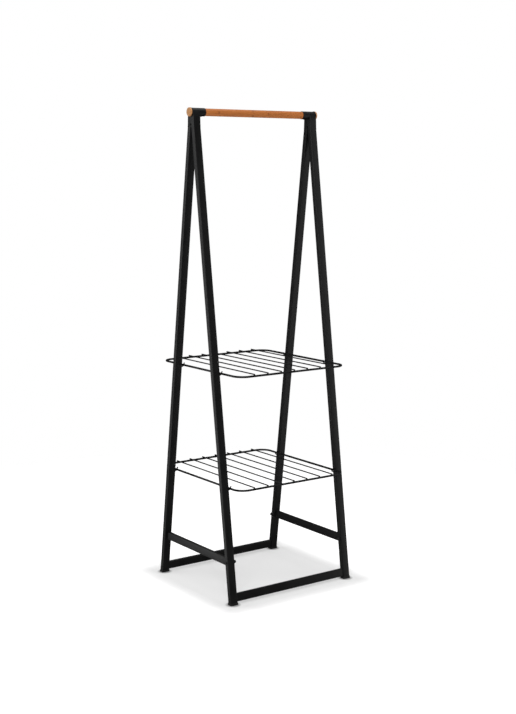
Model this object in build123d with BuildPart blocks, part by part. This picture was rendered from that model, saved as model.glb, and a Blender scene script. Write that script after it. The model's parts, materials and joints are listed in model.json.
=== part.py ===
"""Valet stand: two leaning tube frames under a bamboo hanging rail, with two lift-off wire shelves.

Frame: millimetres, +Z up, +X along the rail, -Y the front; the origin is on the floor, at the
middle of the feet. Each leg pair leans together towards the rail, and meets in a rail head.
"""
from build123d import *
from math import atan, cos, degrees, radians, sin, tan
import os

# ---- overall sizes -------------------------------------------------------------------------
rail_height = 1880.0          # floor to the axis of the rail
leg_spacing = 560.0           # left legs to right legs, between centre planes
foot_spread = 506.0           # front feet to back feet, between leg centre lines at the floor
top_gap = 3.4                 # between the front leg and the back leg at their tops

# ---- legs ----------------------------------------------------------------------------------
leg_width = 31.0              # along X
leg_depth = 20.5              # across the leg, front to back
leg_wall = 1.2
leg_corner = 2.0              # outer corner radius of the tube
cut_past = 1.0                # how far a cutting tool runs past the wall that it cuts
head_drop = 55.0              # rail axis down to the tops of the legs

# ---- rail and rail heads -------------------------------------------------------------------
rail_radius = 14.5
rail_fit = 0.2                # radial clearance of the rail in its sleeves
sleeve_wall = 1.2
sleeve_reach = 30.5           # sleeve past the inner face of the legs
flange_rim = 2.5              # flange past the surface of the rail
flange_thickness = 3.0
head_cheek = 4.0              # side walls of a head
head_front = 3.0              # front and back walls of a head
head_roof = 2.5               # material between the cavity and the rail
head_shoulder = 1.6           # narrowing of the head, from its foot to its shoulder
head_edge = 1.2               # rounding of the outer edges of a head
cap_rim = 2.5                 # end cap past the surface of the rail
cap_thickness = 6.0
cap_edge = 1.8
dowel_radius = 4.0
dowel_in_cap = 3.6
dowel_in_rail = 26.0
dowel_fit = 0.1
screw_radius = 1.5            # wood screw under each sleeve
screw_in_rail = 10.0
screw_head_radius = 3.0
screw_head_height = 1.6

# ---- leg plugs and the bolt through each head ----------------------------------------------
plug_depth = 42.0             # plug inside the leg
plug_fit = 0.2                # clearance around a plug, each side
tab_side_gap = 0.9            # each half-lapped tab to the side wall of its head
tab_radius = 7.0
tab_gap = 0.2                 # between the two tabs
head_bolt_rise = 8.0          # tops of the legs up to the axis of the head bolt
m6_radius = 3.0
m8_radius = 4.0
hole_fit = 0.25               # radial clearance of a bolt in a plain hole
button_radius = 5.6
button_height = 2.8
button_taper = 28.0           # slope of the side of a bolt's head, in degrees
nut_flats = 10.0              # M6 hexagon nut across flats
nut_height = 5.0
thread_end = 1.0              # bolt past the outside of its nut
thread_fit = 0.05             # radial clearance drawn between a bolt and its nut

# ---- bottom bars ---------------------------------------------------------------------------
bar_height = 32.0
bar_depth = 14.0
bar_wall = 1.2
bar_corner = 2.0
bar_clearance = 0.2           # lip of a foot to the underside of a bar
bar_plug_length = 30.0
bar_plug_fit = 0.15
bar_bolt_length = 22.0        # bolt inside the bar plug

# ---- side stretchers -----------------------------------------------------------------------
stretcher_height = 32.0
stretcher_thickness = 12.0
stretcher_wall = 1.2
stretcher_corner = 1.8
stretcher_level = 164.0       # floor to the middle of a stretcher
stretcher_gap = 0.3           # end of a stretcher to the face of the leg
tongue_thickness = 5.0
tongue_height = 15.0
tongue_root = 32.0            # block of a tongue inside the stretcher
tongue_tip_gap = 1.2          # plate to the far wall of the leg
slot_fit = 0.4                # clearance around a tongue in the slot of the leg, each side
stretcher_button_radius = 6.6
stretcher_button_height = 2.6
acorn_flats = 13.0            # M8 cap nut across flats
acorn_hex = 6.5
acorn_dome_radius = 6.1
acorn_bore = 9.5

# ---- feet ----------------------------------------------------------------------------------
foot_wall = 1.6
foot_flare = 0.8              # how much wider the sole is than the cup, each side
foot_floor = 3.5              # sole under the leg
foot_height = 9.0
foot_fit = 0.15
foot_edge = 1.0               # chamfer round the sole
foot_lip_edge = 0.6           # rounding of the cup's lip

# ---- shelves -------------------------------------------------------------------------------
upper_shelf_level = 888.5     # floor to the centre of the rim wire
lower_shelf_level = 447.5
shelf_depth = 555.0           # front to back, between wire centres
shelf_offset = 9.0             # middle of a shelf behind the middle plane
shelf_gap = 1.5               # rim wire to the inner face of a leg
shelf_corner = 45.0           # bend radius of the rim, at the wire centre
rim_radius = 4.5
rod_radius = 2.5
rod_count = 7
rod_margin = 23.0             # outermost rod to the start of the rim's bend
rod_overhang = 4.0            # end of a rod past the centre of the rim wire
rod_edge = 0.4                # chamfer at the ends of the rods

# ---- shelf hooks ---------------------------------------------------------------------------
hook_radius = 2.4
hook_seat_gap = 0.3           # rim wire to the hook that carries it
hook_tip_length = 9.0
hook_tip_lean = 24.0          # tip from upright, away from the leg, in degrees
hook_root = 5.0               # peg of a hook inside the leg
hook_collar_radius = 4.6
hook_collar = 1.4

# ---- worked out ----------------------------------------------------------------------------
leg_top = rail_height - head_drop
top_spread = leg_depth + top_gap            # between centre lines at the tops of the legs
lean = degrees(atan((foot_spread - top_spread) / 2 / leg_top))
lean_cos = cos(radians(lean))
lean_sin = sin(radians(lean))
lean_tan = tan(radians(lean))
leg_run = leg_top / lean_cos
inner_face = (leg_spacing - leg_width) / 2
outer_face = (leg_spacing + leg_width) / 2
level_depth = leg_depth / lean_cos          # depth of a leg, cut level
head_half = (top_spread + level_depth) / 2  # half depth of a head at its foot
sleeve_radius = rail_radius + rail_fit + sleeve_wall
head_bolt_level = leg_top + head_bolt_rise
cap_face = outer_face + flange_thickness
flange_radius = rail_radius + flange_rim
cap_radius = rail_radius + cap_rim
tab_thickness = (leg_width - tab_gap) / 2 - head_cheek - tab_side_gap
bar_level = foot_height + bar_clearance + bar_height / 2 * lean_cos + bar_depth / 2 * lean_sin
tongue_reach = (leg_depth / 2 - leg_wall) / lean_cos - tongue_height / 2 * lean_tan
tongue_past_bolt = tongue_reach - tongue_tip_gap
shelf_half_width = inner_face - shelf_gap - rim_radius
rod_pitch = 2 * (shelf_half_width - shelf_corner - rod_margin) / (rod_count - 1)
hook_drop = rim_radius + hook_seat_gap + hook_radius   # rim centre down to the hook centre
screw_place = inner_face - sleeve_reach / 2  # middle plane to the screw under each sleeve
SIDES = {"left": -1, "right": 1}
FACES = {"back": 1, "front": -1}


def leg_offset(level):
    """Distance of a leg's centre line from the middle plane, at a height above the floor."""
    return foot_spread / 2 - level * lean_tan


def leg_plane(side, face, level=0.0):
    """Plane square to a leg, with its origin on the leg's centre line at that height."""
    origin = (side * leg_spacing / 2, face * leg_offset(level), level)
    return Plane(origin=origin, x_dir=(1, 0, 0), z_dir=(0, -face * lean_sin, lean_cos))


def across(way, x, y, z):
    """Plane square to X at (x, y, z), looking along way * X, with its own y upright.

    Its own x runs along way * Y.
    """
    return Plane(origin=(x, y, z), x_dir=(0, way, 0), z_dir=(way, 0, 0))


def inward(side, face, level):
    """Plane on a leg's centre line at that height, upright, looking level to the other leg."""
    origin = (side * leg_spacing / 2, face * leg_offset(level), level)
    return Plane(origin=origin, x_dir=(face, 0, 0), z_dir=(0, -face, 0))


def leg_face(side, face, gap=0.0):
    """Plane that lies a gap off the leg's middle-facing wall and looks into the leg."""
    reach = leg_offset(stretcher_level) - level_depth / 2 - gap / lean_cos
    origin = (side * leg_spacing / 2, face * reach, stretcher_level)
    return Plane(origin=origin, x_dir=(1, 0, 0), z_dir=(0, face * lean_cos, lean_sin))


def save(piece, label):
    """Name a piece and write its STEP file."""
    piece.part.label = label
    export_step(piece.part, f"parts/{label}.step")


os.makedirs("parts", exist_ok=True)

# ---- legs: oblong tubes, cut level at both ends --------------------------------------------
for side_name, side in SIDES.items():
    for face_name, face in FACES.items():
        with BuildPart() as leg:
            with BuildSketch(leg_plane(side, face)):
                RectangleRounded(leg_width, leg_depth, leg_corner)
                RectangleRounded(leg_width - 2 * leg_wall, leg_depth - 2 * leg_wall,
                                 leg_corner - leg_wall, mode=Mode.SUBTRACT)
            extrude(amount=leg_run + leg_depth)
            split(bisect_by=Plane.XY.offset(foot_floor), keep=Keep.TOP)
            split(bisect_by=Plane.XY.offset(leg_top), keep=Keep.BOTTOM)
            # Clearance holes of the bar bolt and the stretcher bolt, through both side walls.
            for level, radius in ((bar_level, m6_radius), (stretcher_level, m8_radius)):
                start = side * (inner_face - cut_past)
                with BuildSketch(across(side, start, face * leg_offset(level), level)):
                    Circle(radius + hole_fit)
                extrude(amount=leg_width + 2 * cut_past, mode=Mode.SUBTRACT)
            # Slot for the stretcher tongue, in the wall that faces the middle.
            with BuildSketch(inward(side, face, stretcher_level)):
                Rectangle(tongue_thickness + 2 * slot_fit, tongue_height + 2 * slot_fit)
            extrude(amount=leg_depth, mode=Mode.SUBTRACT)
            # Holes for the pegs of the two shelf hooks, in the inner wall.
            for level in (upper_shelf_level, lower_shelf_level):
                start = side * (inner_face - cut_past)
                with BuildSketch(across(side, start, face * leg_offset(level), level - hook_drop)):
                    Circle(hook_radius)
                extrude(amount=leg_wall + 2 * cut_past, mode=Mode.SUBTRACT)
        save(leg, f"leg_{face_name}_{side_name}")

# ---- leg plugs: a block in the top of each leg, with a half-lapped tab for the head bolt ---
for side_name, side in SIDES.items():
    for face_name, face in FACES.items():
        with BuildPart() as plug:
            with BuildSketch(leg_plane(side, face, leg_top)):
                RectangleRounded(leg_width - 2 * (leg_wall + plug_fit),
                                 leg_depth - 2 * (leg_wall + plug_fit),
                                 leg_corner - leg_wall - plug_fit)
            extrude(amount=plug_depth, both=True)
            split(bisect_by=Plane.XY.offset(leg_top), keep=Keep.BOTTOM)
            # The tab reaches from above the leg to the bolt, which lies on the middle plane.
            way = -side * face
            outward = way * face
            tab_start = side * leg_spacing / 2 + way * tab_gap / 2
            with BuildSketch(across(way, tab_start, 0, leg_top)):
                with Locations((0, head_bolt_rise)):
                    Circle(tab_radius)
                with BuildLine():
                    Polyline((0, head_bolt_rise + tab_radius),
                             (outward * head_bolt_rise, head_bolt_rise + tab_radius),
                             (outward * (head_half - head_front - plug_fit - leg_wall), 0),
                             (outward * (head_half - level_depth + leg_wall + plug_fit), 0),
                             (0, head_bolt_rise - tab_radius),
                             close=True)
                make_face()
            extrude(amount=tab_thickness)
            with BuildSketch(across(side, side * inner_face, 0, head_bolt_level)):
                Circle(m6_radius + hole_fit)
            extrude(amount=leg_width, mode=Mode.SUBTRACT)
        save(plug, f"leg_plug_{face_name}_{side_name}")

# ---- rail heads: a hollow block over each leg pair, with a sleeve for the rail -------------
for side_name, side in SIDES.items():
    with BuildPart() as head:
        with BuildSketch(across(side, side * inner_face, 0, leg_top)):
            with BuildLine():
                Polyline((-head_half, 0),
                         (head_half, 0),
                         (head_half - head_shoulder, head_drop - sleeve_radius),
                         (sleeve_radius, head_drop),
                         (-sleeve_radius, head_drop),
                         (-head_half + head_shoulder, head_drop - sleeve_radius),
                         close=True)
            make_face()
        extrude(amount=leg_width)
        fillet(head.edges().filter_by(lambda e: abs((e @ 0).Z - (e @ 1).Z) > head_drop / 2),
               head_edge)
        with BuildSketch(across(side, side * (inner_face - sleeve_reach), 0, rail_height)):
            Circle(sleeve_radius)
        extrude(amount=leg_width + sleeve_reach)
        with BuildSketch(across(side, side * outer_face, 0, rail_height)):
            Circle(flange_radius)
        extrude(amount=flange_thickness)
        # Cavity for the tabs of the two leg plugs, open towards the legs.
        cavity_width = leg_width - 2 * head_cheek
        cavity_height = head_drop - rail_radius - rail_fit - head_roof
        with BuildSketch(across(side, side * (inner_face + head_cheek), 0, leg_top)):
            with BuildLine():
                Polyline((-head_half + head_front, 0),
                         (head_half - head_front, 0),
                         (sleeve_radius - head_roof, cavity_height),
                         (-sleeve_radius + head_roof, cavity_height),
                         close=True)
            make_face()
        extrude(amount=cavity_width, mode=Mode.SUBTRACT)
        with BuildSketch(across(side, side * (inner_face - sleeve_reach), 0, rail_height)):
            Circle(rail_radius + rail_fit)
        extrude(amount=leg_width + sleeve_reach + flange_thickness, mode=Mode.SUBTRACT)
        with BuildSketch(across(side, side * inner_face, 0, head_bolt_level)):
            Circle(m6_radius + hole_fit)
        extrude(amount=leg_width, mode=Mode.SUBTRACT)
        # Hole of the screw that keeps the rail from turning, under the sleeve.
        with BuildSketch(Plane((side * screw_place, 0, rail_height), z_dir=(0, 0, -1))):
            Circle(screw_radius + hole_fit)
        extrude(amount=flange_radius, mode=Mode.SUBTRACT)
    save(head, f"rail_head_{side_name}")

# ---- rail, its end caps, their dowels and its screws ---------------------------------------
with BuildPart() as rail:
    with BuildSketch(across(1, -cap_face, 0, rail_height)):
        Circle(rail_radius)
    extrude(amount=2 * cap_face)
    for side in SIDES.values():
        with BuildSketch(across(-side, side * cap_face, 0, rail_height)):
            Circle(dowel_radius)
        extrude(amount=dowel_in_rail, mode=Mode.SUBTRACT)
    for side in SIDES.values():
        top = rail_height - rail_radius + screw_in_rail
        with BuildSketch(Plane((side * screw_place, 0, top), z_dir=(0, 0, -1))):
            Circle(screw_radius)
        extrude(amount=rail_radius, mode=Mode.SUBTRACT)
save(rail, "hanging_rail")

for side_name, side in SIDES.items():
    with BuildPart() as cap:
        with BuildSketch(across(side, side * cap_face, 0, rail_height)):
            Circle(cap_radius)
        extrude(amount=cap_thickness)
        fillet(cap.edges().group_by(Axis.X)[-1 if side > 0 else 0], cap_edge)
        with BuildSketch(across(side, side * cap_face, 0, rail_height)):
            Circle(dowel_radius)
        extrude(amount=dowel_in_cap, mode=Mode.SUBTRACT)
    save(cap, f"rail_cap_{side_name}")

with BuildPart() as dowels:
    for side in SIDES.values():
        start = side * (cap_face + dowel_in_cap - dowel_fit)
        with BuildSketch(across(-side, start, 0, rail_height)):
            Circle(dowel_radius - dowel_fit)
        extrude(amount=dowel_in_cap + dowel_in_rail - 2 * dowel_fit)
save(dowels, "cap_dowels")

with BuildPart() as screws:
    for side in SIDES.values():
        seat = rail_height - sleeve_radius
        with BuildSketch(Plane((side * screw_place, 0, seat), z_dir=(0, 0, 1))):
            Circle(screw_radius)
        extrude(amount=sleeve_radius - rail_radius + screw_in_rail - dowel_fit)
        with BuildSketch(Plane((side * screw_place, 0, seat), z_dir=(0, 0, -1))):
            Circle(screw_head_radius)
        extrude(amount=screw_head_height)
save(screws, "rail_screws")

# ---- head bolts and nuts: one through both tabs in each head -------------------------------
with BuildPart() as head_bolts:
    for side in SIDES.values():
        with BuildSketch(across(side, side * outer_face, 0, head_bolt_level)):
            Circle(button_radius)
        extrude(amount=button_height, taper=button_taper)
        with BuildSketch(across(-side, side * outer_face, 0, head_bolt_level)):
            Circle(m6_radius)
        extrude(amount=leg_width + nut_height + thread_end)
save(head_bolts, "head_bolts")

with BuildPart() as head_nuts:
    for side in SIDES.values():
        with BuildSketch(across(-side, side * inner_face, 0, head_bolt_level)):
            RegularPolygon(nut_flats / 2, 6, major_radius=False)
            Circle(m6_radius + thread_fit, mode=Mode.SUBTRACT)
        extrude(amount=nut_height)
save(head_nuts, "head_nuts")

# ---- bottom bars, their end plugs and bolts ------------------------------------------------
for face_name, face in FACES.items():
    start = Plane(origin=(-inner_face, face * leg_offset(bar_level), bar_level),
                  x_dir=(0, lean_cos, face * lean_sin), z_dir=(1, 0, 0))
    with BuildPart() as bar:
        with BuildSketch(start):
            RectangleRounded(bar_depth, bar_height, bar_corner)
            RectangleRounded(bar_depth - 2 * bar_wall, bar_height - 2 * bar_wall,
                             bar_corner - bar_wall, mode=Mode.SUBTRACT)
        extrude(amount=2 * inner_face)
    save(bar, f"bottom_bar_{face_name}")

with BuildPart() as bar_plugs:
    for face in FACES.values():
        for side in SIDES.values():
            end = Plane(origin=(side * inner_face, face * leg_offset(bar_level), bar_level),
                        x_dir=(0, lean_cos, face * lean_sin), z_dir=(-side, 0, 0))
            with BuildSketch(end):
                RectangleRounded(bar_depth - 2 * (bar_wall + bar_plug_fit),
                                 bar_height - 2 * (bar_wall + bar_plug_fit),
                                 bar_corner - bar_wall - bar_plug_fit)
                Circle(m6_radius + thread_fit, mode=Mode.SUBTRACT)
            extrude(amount=bar_plug_length)
save(bar_plugs, "bar_plugs")

with BuildPart() as bar_bolts:
    for face in FACES.values():
        for side in SIDES.values():
            place = face * leg_offset(bar_level)
            with BuildSketch(across(side, side * outer_face, place, bar_level)):
                Circle(button_radius)
            extrude(amount=button_height, taper=button_taper)
            with BuildSketch(across(-side, side * outer_face, place, bar_level)):
                Circle(m6_radius)
            extrude(amount=leg_width + bar_bolt_length)
save(bar_bolts, "bar_bolts")

# ---- side stretchers, their tongues, bolts and cap nuts ------------------------------------
stretcher_offset = leg_offset(stretcher_level)
for side_name, side in SIDES.items():
    middle = Plane(origin=(side * leg_spacing / 2, -stretcher_offset, stretcher_level),
                   x_dir=(-1, 0, 0), z_dir=(0, 1, 0))
    with BuildPart() as stretcher:
        with BuildSketch(middle):
            RectangleRounded(stretcher_thickness, stretcher_height, stretcher_corner)
            RectangleRounded(stretcher_thickness - 2 * stretcher_wall,
                             stretcher_height - 2 * stretcher_wall,
                             stretcher_corner - stretcher_wall, mode=Mode.SUBTRACT)
        extrude(amount=2 * stretcher_offset)
        for face in FACES.values():
            split(bisect_by=leg_face(side, face, stretcher_gap), keep=Keep.BOTTOM)
    save(stretcher, f"stretcher_{side_name}")

    with BuildPart() as tongues:
        for face in FACES.values():
            # Plate through the slot of the leg, then a block that fills the stretcher's end.
            with BuildSketch(inward(side, face, stretcher_level).offset(-tongue_past_bolt)):
                Rectangle(tongue_thickness, tongue_height)
            extrude(amount=tongue_past_bolt + level_depth / 2 + tongue_root)
            with BuildSketch(inward(side, face, stretcher_level).offset(level_depth)):
                RectangleRounded(stretcher_thickness - 2 * (stretcher_wall + bar_plug_fit),
                                 stretcher_height - 2 * (stretcher_wall + bar_plug_fit),
                                 stretcher_corner - stretcher_wall - bar_plug_fit)
            extrude(amount=tongue_root - level_depth / 2)
            place = face * stretcher_offset
            with BuildSketch(across(side, side * inner_face, place, stretcher_level)):
                Circle(m8_radius + hole_fit)
            extrude(amount=leg_width, mode=Mode.SUBTRACT)
    save(tongues, f"stretcher_tongues_{side_name}")

with BuildPart() as stretcher_bolts:
    for face in FACES.values():
        for side in SIDES.values():
            place = face * stretcher_offset
            with BuildSketch(across(side, side * outer_face, place, stretcher_level)):
                Circle(stretcher_button_radius)
            extrude(amount=stretcher_button_height, taper=button_taper)
            with BuildSketch(across(-side, side * outer_face, place, stretcher_level)):
                Circle(m8_radius)
            extrude(amount=leg_width + acorn_bore - thread_end)
save(stretcher_bolts, "stretcher_bolts")

with BuildPart() as cap_nuts:
    for face in FACES.values():
        for side in SIDES.values():
            place = face * stretcher_offset
            seat = across(-side, side * inner_face, place, stretcher_level)
            with BuildSketch(seat):
                RegularPolygon(acorn_flats / 2, 6, major_radius=False)
            extrude(amount=acorn_hex)
            with Locations(seat.offset(acorn_hex)):
                Sphere(acorn_dome_radius)
            with BuildSketch(seat):
                Circle(m8_radius + thread_fit)
            extrude(amount=acorn_bore, mode=Mode.SUBTRACT)
save(cap_nuts, "cap_nuts")

# ---- feet: moulded cups with a level sole --------------------------------------------------
for side_name, side in SIDES.items():
    for face_name, face in FACES.items():
        with BuildPart() as foot:
            for level, flare in ((0, foot_flare), (foot_height, 0)):
                with BuildSketch(Plane((side * leg_spacing / 2, face * leg_offset(level), level))):
                    margin = 2 * (foot_fit + foot_wall + flare)
                    RectangleRounded(leg_width + margin, level_depth + margin,
                                     leg_corner + foot_wall + flare)
            loft()
            chamfer(foot.edges().group_by(Axis.Z)[0], foot_edge)
            fillet(foot.edges().group_by(Axis.Z)[-1], foot_lip_edge)
            for level in (foot_floor, foot_height + cut_past):
                with BuildSketch(Plane((side * leg_spacing / 2, face * leg_offset(level), level))):
                    RectangleRounded(leg_width + 2 * foot_fit, level_depth + 2 * foot_fit,
                                     leg_corner)
            loft(mode=Mode.SUBTRACT)
        save(foot, f"foot_{face_name}_{side_name}")

# ---- shelves: a bent rim wire with straight rods welded across it --------------------------
for shelf_name, level in (("upper", upper_shelf_level), ("lower", lower_shelf_level)):
    with BuildPart() as rim:
        with BuildLine() as rim_line:
            x = shelf_half_width
            front = shelf_offset - shelf_depth / 2
            back = shelf_offset + shelf_depth / 2
            FilletPolyline((x, front, level), (x, back, level), (-x, back, level),
                           (-x, front, level), radius=shelf_corner, close=True)
        with BuildSketch(Plane(rim_line.line @ 0, z_dir=rim_line.line % 0)):
            Circle(rim_radius)
        sweep(path=rim_line.line)
    save(rim, f"{shelf_name}_shelf_rim")

    rod_length = shelf_depth + 2 * rod_overhang
    rod_level = level + rim_radius + rod_radius
    rod_start = shelf_offset - rod_length / 2
    with BuildPart() as rods:
        with BuildSketch(Plane((0, rod_start, rod_level), x_dir=(-1, 0, 0), z_dir=(0, 1, 0))):
            with GridLocations(rod_pitch, 1, rod_count, 1):
                Circle(rod_radius)
        extrude(amount=rod_length)
        chamfer(rods.edges().filter_by(GeomType.CIRCLE), rod_edge)
    save(rods, f"{shelf_name}_shelf_rods")

    # Four hooks on the inner walls of the legs; each cradles the rim wire from below.
    with BuildPart() as hooks:
        for side in SIDES.values():
            for face in FACES.values():
                place = face * leg_offset(level)
                low = level - hook_drop
                turn = radians(90 - hook_tip_lean)
                wire_x = side * shelf_half_width
                bend_x = wire_x - side * hook_drop * sin(turn)
                bend_z = level - hook_drop * cos(turn)
                tip_x = bend_x - side * hook_tip_length * cos(turn)
                tip_z = bend_z + hook_tip_length * sin(turn)
                mid_x = wire_x - side * hook_drop * sin(turn / 2)
                mid_z = level - hook_drop * cos(turn / 2)
                root_x = side * (inner_face + hook_root)
                with BuildLine() as hook_line:
                    Line((root_x, place, low), (wire_x, place, low))
                    ThreePointArc((wire_x, place, low), (mid_x, place, mid_z),
                                  (bend_x, place, bend_z))
                    Line((bend_x, place, bend_z), (tip_x, place, tip_z))
                with BuildSketch(across(-side, root_x, place, low)):
                    Circle(hook_radius)
                sweep(path=hook_line.line)
                with Locations((tip_x, place, tip_z)):
                    Sphere(hook_radius)
                with BuildSketch(across(-side, side * inner_face, place, low)):
                    Circle(hook_collar_radius)
                extrude(amount=hook_collar)
    save(hooks, f"{shelf_name}_shelf_hooks")
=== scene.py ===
"""Valet stand: two leaning tube frames under a bamboo rail, with two lift-off wire shelves.

Metres, +Z up, +X along the rail, -Y the front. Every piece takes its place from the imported
frame, stands for one of its nodes and rides on the same body. Shapes are surfaces worked out
as whole arrays: a profile carried along a path, or a radius as a function of turn and height.
"""
import json
import logging
from dataclasses import dataclass, field
from enum import Enum
from math import acos, atan2, cos, hypot, pi, radians, sin, tan

import bpy
import numpy as np
from mathutils import Matrix, Vector


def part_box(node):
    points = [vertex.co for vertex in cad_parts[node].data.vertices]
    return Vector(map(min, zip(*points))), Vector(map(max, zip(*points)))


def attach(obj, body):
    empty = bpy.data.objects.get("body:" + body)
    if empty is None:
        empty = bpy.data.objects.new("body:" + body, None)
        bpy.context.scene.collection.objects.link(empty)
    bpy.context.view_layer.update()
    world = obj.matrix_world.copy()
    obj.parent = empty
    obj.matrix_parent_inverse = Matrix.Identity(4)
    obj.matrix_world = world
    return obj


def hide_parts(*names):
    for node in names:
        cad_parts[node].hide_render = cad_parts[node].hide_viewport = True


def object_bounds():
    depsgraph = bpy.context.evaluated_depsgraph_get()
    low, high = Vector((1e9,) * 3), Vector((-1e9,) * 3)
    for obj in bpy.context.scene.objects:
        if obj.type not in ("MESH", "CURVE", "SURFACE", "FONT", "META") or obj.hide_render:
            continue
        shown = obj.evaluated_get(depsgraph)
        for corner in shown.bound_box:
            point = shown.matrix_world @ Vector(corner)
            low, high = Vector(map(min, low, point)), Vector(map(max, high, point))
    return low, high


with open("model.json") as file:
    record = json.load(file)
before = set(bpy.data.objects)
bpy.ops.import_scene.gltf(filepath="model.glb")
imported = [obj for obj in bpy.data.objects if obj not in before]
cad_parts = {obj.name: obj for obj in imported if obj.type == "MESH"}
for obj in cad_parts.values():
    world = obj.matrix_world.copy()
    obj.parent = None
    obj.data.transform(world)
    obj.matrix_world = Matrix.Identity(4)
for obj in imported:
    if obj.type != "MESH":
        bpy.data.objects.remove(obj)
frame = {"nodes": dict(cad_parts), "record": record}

log = logging.getLogger("valet_stand")
Array = np.ndarray
Socket = bpy.types.NodeSocket
MM = 0.001
CAD_BOX = [list(corner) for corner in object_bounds()]
NODE_BODY = {node: body for body, nodes in frame["record"]["behaviour"]["bodies"].items()
             for node in nodes}


class Named(Enum):
    """A choice whose name, in small letters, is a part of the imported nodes' names."""

    @property
    def word(self) -> str:
        """The name in small letters."""
        return self.name.lower()


class Side(Named):
    """The two ends of the rail; the value is the sign of X."""

    LEFT = -1
    RIGHT = 1


class Face(Named):
    """The front and the back of the stand; the value is the sign of Y."""

    FRONT = -1
    BACK = 1


class Level(Named):
    """The two shelves."""

    UPPER = 1
    LOWER = 0


# ---- the frame's boxes ---------------------------------------------------------------------
class Box:
    """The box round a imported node: its two corners, its size and its middle, in metres."""

    def __init__(self, node: str) -> None:
        """Reads the box of the node with that name.

        Args:
            node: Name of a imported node.
        """
        self.low, self.high = (np.array(corner, float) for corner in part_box(node))
        self.size = self.high - self.low
        self.middle = (self.low + self.high) / 2


# ---- shapes as arrays ----------------------------------------------------------------------
def turns(count: int) -> Array:
    """Angles evenly spaced over one whole turn, the last one left out."""
    return np.arange(count) * (2 * pi / count)


def corners(steps: int) -> tuple[Array, Array]:
    """Turns round four quarter circles, and the signs of the corner that each one is in.

    Args:
        steps: Number of steps round each quarter circle, one fewer than its points.

    Returns:
        The turns in radians, and each point's two signs.
    """
    quarter = np.linspace(0, pi / 2, steps + 1)
    angle = (np.arange(4)[:, None] * pi / 2 + quarter[None, :]).ravel()
    return angle, np.repeat([[1, 1], [-1, 1], [-1, -1], [1, -1]], steps + 1, axis=0)


def circle(radius: float, count: int) -> Array:
    """Points of a circle, of shape (count, 2), anticlockwise."""
    return radius * np.stack([np.cos(turns(count)), np.sin(turns(count))], axis=1)


def rounded_rectangle(width: float, depth: float, radius: float, steps: int = 6) -> Array:
    """Outline of a rectangle with round corners, anticlockwise.

    Each corner is a quarter circle about a centre that lies one radius in from both sides;
    the straight sides are the gaps between one quarter circle and the next.

    Args:
        width: Size along the first axis.
        depth: Size along the second axis.
        radius: Corner radius.
        steps: Spans in each quarter circle.

    Returns:
        Points of shape (4 * (steps + 1), 2).
    """
    angle, sign = corners(steps)
    bend = radius * np.stack([np.cos(angle), np.sin(angle)], axis=1)
    return sign * (np.array([width, depth]) / 2 - radius) + bend


def grid_quads(rows: int, columns: int, wrap_rows: bool = False) -> Array:
    """Corners of the quads of a grid that is closed across its columns.

    Args:
        rows: Number of rings.
        columns: Number of points in a ring.
        wrap_rows: Whether the last ring joins the first one.

    Returns:
        Vertex numbers of shape (quads, 4), turned so that rings that run anticlockwise
        about the direction of travel face outwards.
    """
    row = np.arange(rows if wrap_rows else rows - 1)[:, None]
    column = np.arange(columns)[None, :]
    beside, above = (column + 1) % columns, (row + 1) % rows
    quads = np.stack([row * columns + column, row * columns + beside,
                      above * columns + beside, above * columns + column], axis=-1)
    return quads.reshape(-1, 4)


@dataclass
class Shell:
    """One closed surface on a grid of rings."""

    points: Array  # Ring points of shape (rings, points in a ring, 3)
    # Whether the last ring joins the first, as on a loop of wire or a tube's wall.
    wrap: bool = False

    def faces(self, first: int) -> list[Array]:
        """Faces of the shell, with flat ends where it isn't a loop.

        Args:
            first: Number of the shell's first vertex in the whole mesh.

        Returns:
            One array of vertex numbers for each kind of face.
        """
        rings, count = self.points.shape[:2]
        faces = [grid_quads(rings, count, self.wrap) + first]
        if not self.wrap:
            ring = np.arange(count)
            faces.append(ring[None, ::-1] + first)
            faces.append(ring[None, :] + first + (rings - 1) * count)
        return faces

    def placed(self, place: "Placement") -> "Shell":
        """The same shell, moved from its own axes to a place on the stand."""
        return Shell(place.apply(self.points), self.wrap)


@dataclass(frozen=True)
class Placement:
    """A right-handed place: an origin and the directions of a shape's own axes."""

    origin: tuple[float, float, float]  # Where the shape's own origin goes
    axis: tuple[float, float, float]  # Direction of the shape's own third axis
    # Direction of the shape's own first axis, square to the third.
    start: tuple[float, float, float]

    def apply(self, points: Array) -> Array:
        """Each point becomes the origin plus its coordinates times the three directions.

        Args:
            points: Coordinates along the three directions.

        Returns:
            The placed points, in metres.
        """
        third, first = np.array(self.axis, float), np.array(self.start, float)
        second = np.cross(third, first)
        return np.array(self.origin) + points @ np.stack([first, second, third])


def surface(along_x: Array, along_y: Array, along_z: Array) -> Shell:
    """A shell from three coordinates, whose shapes are broadcast to one grid of rings."""
    return Shell(np.stack(np.broadcast_arrays(along_x, along_y, along_z), axis=-1))


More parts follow.
